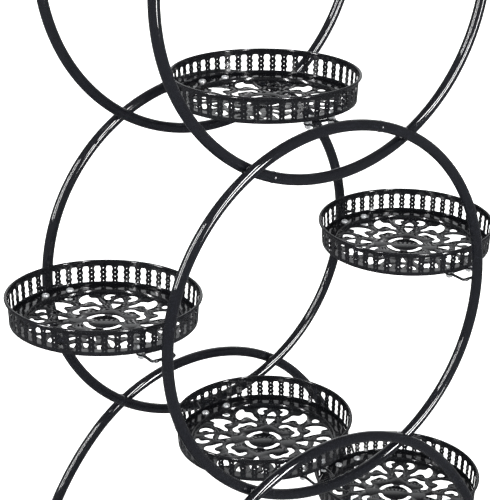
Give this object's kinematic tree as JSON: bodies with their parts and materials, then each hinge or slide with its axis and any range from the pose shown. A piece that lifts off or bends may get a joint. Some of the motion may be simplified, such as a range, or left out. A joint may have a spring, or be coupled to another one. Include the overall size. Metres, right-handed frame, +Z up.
{
  "type": "tiered plant stand",
  "caption": "Free-standing plant stand of overlapping tube rings on an arched base, holding round pierced trays at staggered heights.",
  "frame": {"origin": "on the floor, in the middle of the four feet", "axes": "+Z up, X along the planes of the rings, -Y the front frame"},
  "size_m": [0.6164, 0.2905, 1.0429],
  "materials": {
    "frame_paint": "gloss black paint",
    "tray_paint": "gloss black paint on pressed sheet",
    "zinc": "zinc plated",
    "cap_plastic": "moulded"
  },
  "bodies": {
    "root": {"upper_ring_front": "frame_paint", "upper_ring_back": "frame_paint", "middle_ring_front": "frame_paint", "middle_ring_back": "frame_paint", "base_arch_front": "frame_paint", "base_arch_back": "frame_paint", "foot_cap_front_left": "cap_plastic", "foot_cap_front_right": "cap_plastic", "foot_cap_back_left": "cap_plastic", "foot_cap_back_right": "cap_plastic", "crossing_screws": "zinc", "crossing_inserts": "zinc", "top_tray_rim": "tray_paint", "top_tray_wall": "tray_paint", "top_tray_floor": "tray_paint", "top_tray_screws": "zinc", "top_tray_front_bracket": "frame_paint", "top_tray_back_bracket": "frame_paint", "upper_tray_rim": "tray_paint", "upper_tray_wall": "tray_paint", "upper_tray_floor": "tray_paint", "upper_tray_screws": "zinc", "upper_tray_front_bracket": "frame_paint", "upper_tray_back_bracket": "frame_paint", "left_tray_rim": "tray_paint", "left_tray_wall": "tray_paint", "left_tray_floor": "tray_paint", "left_tray_screws": "zinc", "left_tray_front_bracket": "frame_paint", "left_tray_back_bracket": "frame_paint", "right_tray_rim": "tray_paint", "right_tray_wall": "tray_paint", "right_tray_floor": "tray_paint", "right_tray_screws": "zinc", "right_tray_front_bracket": "frame_paint", "right_tray_back_bracket": "frame_paint", "centre_tray_rim": "tray_paint", "centre_tray_wall": "tray_paint", "centre_tray_floor": "tray_paint", "centre_tray_screws": "zinc", "centre_tray_front_bracket": "frame_paint", "centre_tray_back_bracket": "frame_paint", "low_left_tray_rim": "tray_paint", "low_left_tray_wall": "tray_paint", "low_left_tray_floor": "tray_paint", "low_left_tray_screws": "zinc", "low_left_tray_front_bracket": "frame_paint", "low_left_tray_back_bracket": "frame_paint", "low_right_tray_rim": "tray_paint", "low_right_tray_wall": "tray_paint", "low_right_tray_floor": "tray_paint", "low_right_tray_screws": "zinc", "low_right_tray_front_bracket": "frame_paint", "low_right_tray_back_bracket": "frame_paint", "tray_nuts": "zinc", "tray_washers": "zinc"}
  },
  "joints": []
}
